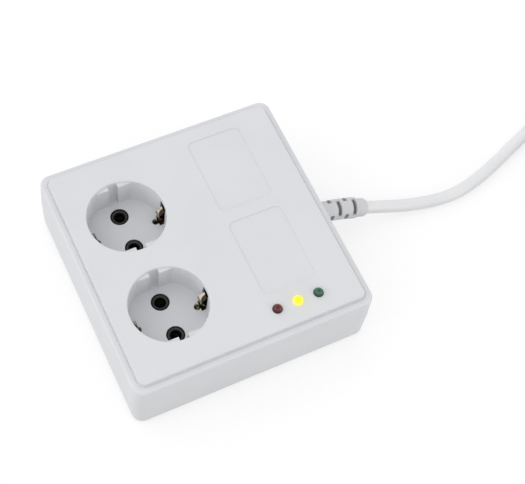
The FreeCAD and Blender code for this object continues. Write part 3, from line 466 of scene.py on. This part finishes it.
def striped(name, ground, stripe, pitch):
    """Two-colour wire insulation in slanting stripes."""
    made, tree, bsdf = material(name)
    wave = add(tree, "ShaderNodeTexWave")
    wave.wave_type = "BANDS"
    wave.bands_direction = "DIAGONAL"
    wave.inputs["Scale"].default_value = 1.0 / pitch
    wave.inputs["Distortion"].default_value = 0.4
    tree.links.new(place(tree), wave.inputs["Vector"])
    stops = [(0.45, ground), (0.55, stripe)]
    tree.links.new(ramp(tree, wave.outputs["Fac"], stops), bsdf.inputs["Base Color"])
    uneven = noise(tree, scale=900.0, detail=2.0)
    tree.links.new(bump(tree, uneven, depth=1e-5), bsdf.inputs["Normal"])
    bsdf.inputs["Roughness"].default_value = 0.4
    return made


def finish_nodes():
    """Gives every solid its material."""
    by_slot = {}
    for slot, (colour, roughness, more) in PLASTICS.items():
        by_slot[slot] = moulded(slot, colour, roughness, **more)
    for slot, (bright, dull, roughness, stretch) in METALS.items():
        by_slot[slot] = sheet_metal(slot, bright, dull, roughness, stretch)
    by_slot["cord_pvc"] = sheath("cord_pvc", (0.83, 0.835, 0.85), 0.30)
    by_slot["wire_earth"] = striped("wire_earth", (0.10, 0.32, 0.04), (0.62, 0.60, 0.04), pitch=0.03)
    by_slot["foot_rubber"] = rubber("foot_rubber", (0.055, 0.055, 0.06))
    by_slot["lamp_red"] = unlit_lamp("lamp_red", core=(0.09, 0.006, 0.008), cup=(0.19, 0.035, 0.042),
                                     rim=(0.05, 0.007, 0.009))
    by_slot["lamp_yellow"] = lit_lamp("lamp_yellow", core=(0.98, 0.86, 0.02), rim=(0.90, 0.86, 0.22))
    by_slot["lamp_green"] = unlit_lamp("lamp_green", core=(0.02, 0.085, 0.05), cup=(0.065, 0.19, 0.125),
                                       rim=(0.016, 0.065, 0.04))
    # Painted light and shade over the finishes: the lamp's light on the cover, shade in the clip slots,
    # highlights on the pin mouths, shade on the clips and in the sleeve's slots
    painted_lamp_glow(by_slot["white_abs"])
    painted_slot_shade(by_slot["white_abs"])
    painted_pin_mouth_highlights(by_slot["black_insert"])
    painted_clip_shade(by_slot["clip_brass"])
    painted_hollow_shade(by_slot["grey_pvc"])
    for part in frame["record"]["subparts"]:
        node = nodes[part["node"]]
        node.data.materials.clear()
        node.data.materials.append(by_slot[part["material_slot"]])
    # The straps' brass is nearly black with few bright patches: painted shade under the keyholes
    strap = sheet_metal("strap_brass_painted_shade", (0.32, 0.25, 0.10), (0.02, 0.014, 0.006), 0.4, LONG_IN_Y,
                        tarnish=(0.43, 0.52))
    for name in ("earth_strap_1", "earth_strap_2"):
        nodes[name].data.materials[0] = strap
    plug_brass = sheet_metal("plug_brass", *METALS["clip_brass"])
    nodes["plug_earth_contacts"].data.materials[0] = plug_brass
    return by_slot


# Lead
def coil_line():
    """Turns of the put-away length, wound inward below, then outward above after a climb."""
    before = Vector(CORD_ROUTE[-2])
    last = Vector(CORD_ROUTE[-1])
    way = (last - before).normalized()
    entry = last + way * CORD_DIAMETER
    right = Vector((way.y, -way.x, 0.0))
    half = COIL_HALF_TURNS / 4
    centre = entry + right * (COIL_INNER_RADIUS + COIL_PITCH * half)
    start_angle = math.atan2(-right.y, -right.x)
    # The smooth line runs a little inside its points
    outward = 1.0 / (1.0 - 0.5 * (math.pi / COIL_POINTS_PER_TURN) ** 2)
    points = []
    for i in range(COIL_HALF_TURNS * COIL_POINTS_PER_TURN // 2 + 1):
        turn = i / COIL_POINTS_PER_TURN
        u = turn - half
        if abs(u) < COIL_CROSSING:
            eased = COIL_CROSSING / 2 + u * u / (2 * COIL_CROSSING)
            radius = COIL_INNER_RADIUS + COIL_PITCH * eased
            rise = 0.5 + 0.5 * math.sin(math.pi * u / (2 * COIL_CROSSING))
        else:
            radius = COIL_INNER_RADIUS + COIL_PITCH * abs(u)
            rise = 0.0 if u < 0 else 1.0
        angle = start_angle - 2 * math.pi * turn
        reach = Vector((math.cos(angle), math.sin(angle), 0.0)) * radius * outward
        points.append(centre + reach + Vector((0.0, 0.0, COIL_RISE * rise)))
    end_way = Vector((math.sin(angle), -math.cos(angle), 0.0))
    points.append(points[-1] + end_way * CORD_DIAMETER)
    return points


def lead_middle(cord):
    """Points read along the lead's smooth line, in millimetres, from a copy with no thickness."""
    thin = cord.data.copy()
    thin.bevel_depth = 0.0
    probe = bpy.data.objects.new("probe", thin)
    mesh = bpy.data.meshes.new_from_object(probe)
    points = [vertex.co / MM for vertex in mesh.vertices]
    bpy.data.meshes.remove(mesh)
    bpy.data.objects.remove(probe)
    bpy.data.curves.remove(thin)
    return points


def walk(points, start, lengths):
    """Places and directions at lengths along a line, counted from where it passes x = start."""
    first = next(i for i, point in enumerate(points) if point.x > start)
    before, after = points[first - 1], points[first]
    origin = before.lerp(after, (start - before.x) / (after.x - before.x))
    line = [origin] + points[first:]
    found = []
    for length in lengths:
        left = max(length, 0.0)
        i = 0
        while left > (line[i + 1] - line[i]).length:
            left -= (line[i + 1] - line[i]).length
            i += 1
        way = (line[i + 1] - line[i]).normalized()
        found.append((line[i] + way * left, way))
    return found


def relief_stations():
    """The outline's corners and both edges of each slot, in order along the lead."""
    stations = list(RELIEF_OUTLINE)
    outside = [(s, r) for s, r in RELIEF_OUTLINE if s > 0.0]
    for slot in RELIEF_SLOTS:
        for end in (-RELIEF_SLOT_WIDTH / 2, RELIEF_SLOT_WIDTH / 2):
            for nudge in (-RELIEF_SLOT_EDGE, RELIEF_SLOT_EDGE):
                along = slot + end + nudge
                after = next(i for i, (t, _) in enumerate(outside) if t > along)
                (s0, r0), (s1, r1) = outside[after - 1], outside[after]
                stations.append((along, r0 + (r1 - r0) * (along - s0) / (s1 - s0)))
    inner = [item for item in stations if item[0] <= RELIEF_WALL_END]
    outer = sorted(item for item in stations if item[0] > RELIEF_WALL_END)
    return inner + outer


def in_slot(along, angle):
    """Whether a place on the sleeve is in a slot; the slots face up and down, then sideways."""
    for i, slot in enumerate(RELIEF_SLOTS):
        if abs(along - slot) < RELIEF_SLOT_WIDTH / 2:
            turned = math.degrees(angle) - RELIEF_ROLL - (0.0 if i % 2 else 90.0)
            return abs((turned + 90.0) % 180.0 - 90.0) < RELIEF_SLOT_HALF_ANGLE
    return False


def make_relief(cord, pvc):
    """Sleeve round the lead: square to the wall inside it, and along the lead's line outside."""
    stations = relief_stations()
    wall_x = CORD_EXIT[0]
    spots = walk(lead_middle(cord), wall_x, [s for s, _ in stations])
    bm = bmesh.new()
    # Vertices in the slots are marked hollow, where the sleeve's material paints shade
    mark = bm.verts.layers.float.new("hollow")
    rings = []
    for (along, radius), (spot, way) in zip(stations, spots):
        if along < RELIEF_WALL_END:
            spot = Vector((wall_x + along, 0.0, CORD_EXIT[2]))
            way = Vector((1.0, 0.0, 0.0))
        across = Vector((0.0, 0.0, 1.0)).cross(way).normalized()
        up = way.cross(across)
        ring = []
        for i in range(RELIEF_SIDES):
            angle = 2 * math.pi * i / RELIEF_SIDES
            hollow = in_slot(along, angle)
            reach = RELIEF_SLOT_FLOOR if hollow else radius
            out = up * math.cos(angle) - across * math.sin(angle)
            vertex = bm.verts.new((spot + out * reach) * MM)
            vertex[mark] = 1.0 if hollow else 0.0
            ring.append(vertex)
        rings.append(ring)
    for first, second in zip(rings, rings[1:] + rings[:1]):
        for i in range(RELIEF_SIDES):
            j = (i + 1) % RELIEF_SIDES
            bm.faces.new((first[i], first[j], second[j], second[i]))
    bmesh.ops.recalc_face_normals(bm, faces=bm.faces)
    mesh = bpy.data.meshes.new("relief_sleeve")
    bm.to_mesh(mesh)
    bm.free()
    mesh.polygons.foreach_set("use_smooth", [True] * len(mesh.polygons))
    mesh.set_sharp_from_angle(angle=math.radians(RELIEF_SHARP_ANGLE))
    mesh.materials.append(pvc)
    sleeve = bpy.data.objects.new("relief_sleeve", mesh)
    bpy.context.scene.collection.objects.link(sleeve)
    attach(sleeve, HOUSING)
    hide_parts("strain_relief")
    return sleeve


def make_lead(skin, pvc):
    line = [Vector(point) for point in CORD_ROUTE] + coil_line()
    data = bpy.data.curves.new("mains_lead", "CURVE")
    data.dimensions = "3D"
    data.resolution_u = 6
    data.bevel_depth = CORD_DIAMETER / 2 * MM
    data.bevel_resolution = 7
    data.use_fill_caps = True
    spline = data.splines.new("NURBS")
    spline.points.add(len(line) - 1)
    for point, where in zip(spline.points, line):
        point.co = (*(where * MM), 1.0)
    spline.order_u = 3
    spline.use_endpoint_u = True
    spline.use_smooth = True
    data.materials.append(skin)
    cord = bpy.data.objects.new("mains_lead", data)
    bpy.context.scene.collection.objects.link(cord)
    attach(cord, HOUSING)
    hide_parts("cord_run", "cord_coil")
    sleeve = make_relief(cord, pvc)


# Floor and light
def seen_rays(tree):
    """1 for rays from the camera, in a reflection or through clear plastic, and 0 for light."""
    rays = add(tree, "ShaderNodeLightPath")
    seen = rays.outputs["Is Camera Ray"]
    for kind in ("Is Glossy Ray", "Is Transmission Ray"):
        either = add(tree, "ShaderNodeMath", operation="MAXIMUM")
        tree.links.new(seen, either.inputs[0])
        tree.links.new(rays.outputs[kind], either.inputs[1])
        seen = either.outputs[0]
    return seen


def coloured(tree, kind, colour):
    """A shader node with a plain colour."""
    node = add(tree, kind)
    node.inputs["Color"].default_value = (*colour, 1.0)
    return node


def mixed(tree, lighting, seen, out):
    """One shader for the light that it gives, and another where it is seen."""
    mix = add(tree, "ShaderNodeMixShader")
    tree.links.new(seen_rays(tree), mix.inputs[0])
    tree.links.new(lighting.outputs[0], mix.inputs[1])
    tree.links.new(seen.outputs[0], mix.inputs[2])
    tree.links.new(mix.outputs[0], add(tree, out).inputs["Surface"])


def make_floor():
    bpy.ops.mesh.primitive_plane_add(size=FLOOR_SIZE, location=(0.0, 0.0, 0.0))
    floor = bpy.context.object
    floor.name = "floor"
    made = bpy.data.materials.new("floor")
    made.use_nodes = True
    tree = made.node_tree
    tree.nodes.clear()
    bounce = coloured(tree, "ShaderNodeBsdfDiffuse", FLOOR_BOUNCE)
    ground = coloured(tree, "ShaderNodeBsdfDiffuse", FLOOR_SEEN)
    lift = coloured(tree, "ShaderNodeEmission", WHITE)
    lift.inputs["Strength"].default_value = FLOOR_LIFT
    seen = add(tree, "ShaderNodeAddShader")
    tree.links.new(ground.outputs[0], seen.inputs[0])
    tree.links.new(lift.outputs[0], seen.inputs[1])
    mixed(tree, bounce, seen, "ShaderNodeOutputMaterial")
    floor.data.materials.append(made)


def make_world():
    world = bpy.data.worlds.new("studio")
    bpy.context.scene.world = world
    world.use_nodes = True
    tree = world.node_tree
    tree.nodes.clear()
    soft = coloured(tree, "ShaderNodeBackground", WHITE)
    lean = add(tree, "ShaderNodeVectorMath", operation="DOT_PRODUCT")
    lean.inputs[1].default_value = SKY_BRIGHT_SIDE
    tree.links.new(add(tree, "ShaderNodeTexCoord").outputs["Generated"], lean.inputs[0])
    share = add(tree, "ShaderNodeMath", operation="MULTIPLY_ADD")
    share.inputs[1].default_value = SKY_STRENGTH * SKY_LEAN
    share.inputs[2].default_value = SKY_STRENGTH
    tree.links.new(lean.outputs["Value"], share.inputs[0])
    tree.links.new(share.outputs[0], soft.inputs["Strength"])
    white = coloured(tree, "ShaderNodeBackground", WHITE)
    white.inputs["Strength"].default_value = 1.0
    mixed(tree, soft, white, "ShaderNodeOutputWorld")


def area_light(name, where, size, watts):
    data = bpy.data.lights.new(name, "AREA")
    data.shape = "DISK"
    data.size = size
    data.energy = watts
    lamp = bpy.data.objects.new(name, data)
    lamp.location = where
    lamp.rotation_euler = (-Vector(where)).to_track_quat("-Z", "Y").to_euler()
    bpy.context.scene.collection.objects.link(lamp)


make_camera()
finishes = finish_nodes()
make_lead(finishes["cord_pvc"], finishes["grey_pvc"])
make_floor()
make_world()
area_light("key", **KEY)
area_light("fill", **FILL)
bpy.context.scene.view_settings.view_transform = "Standard"
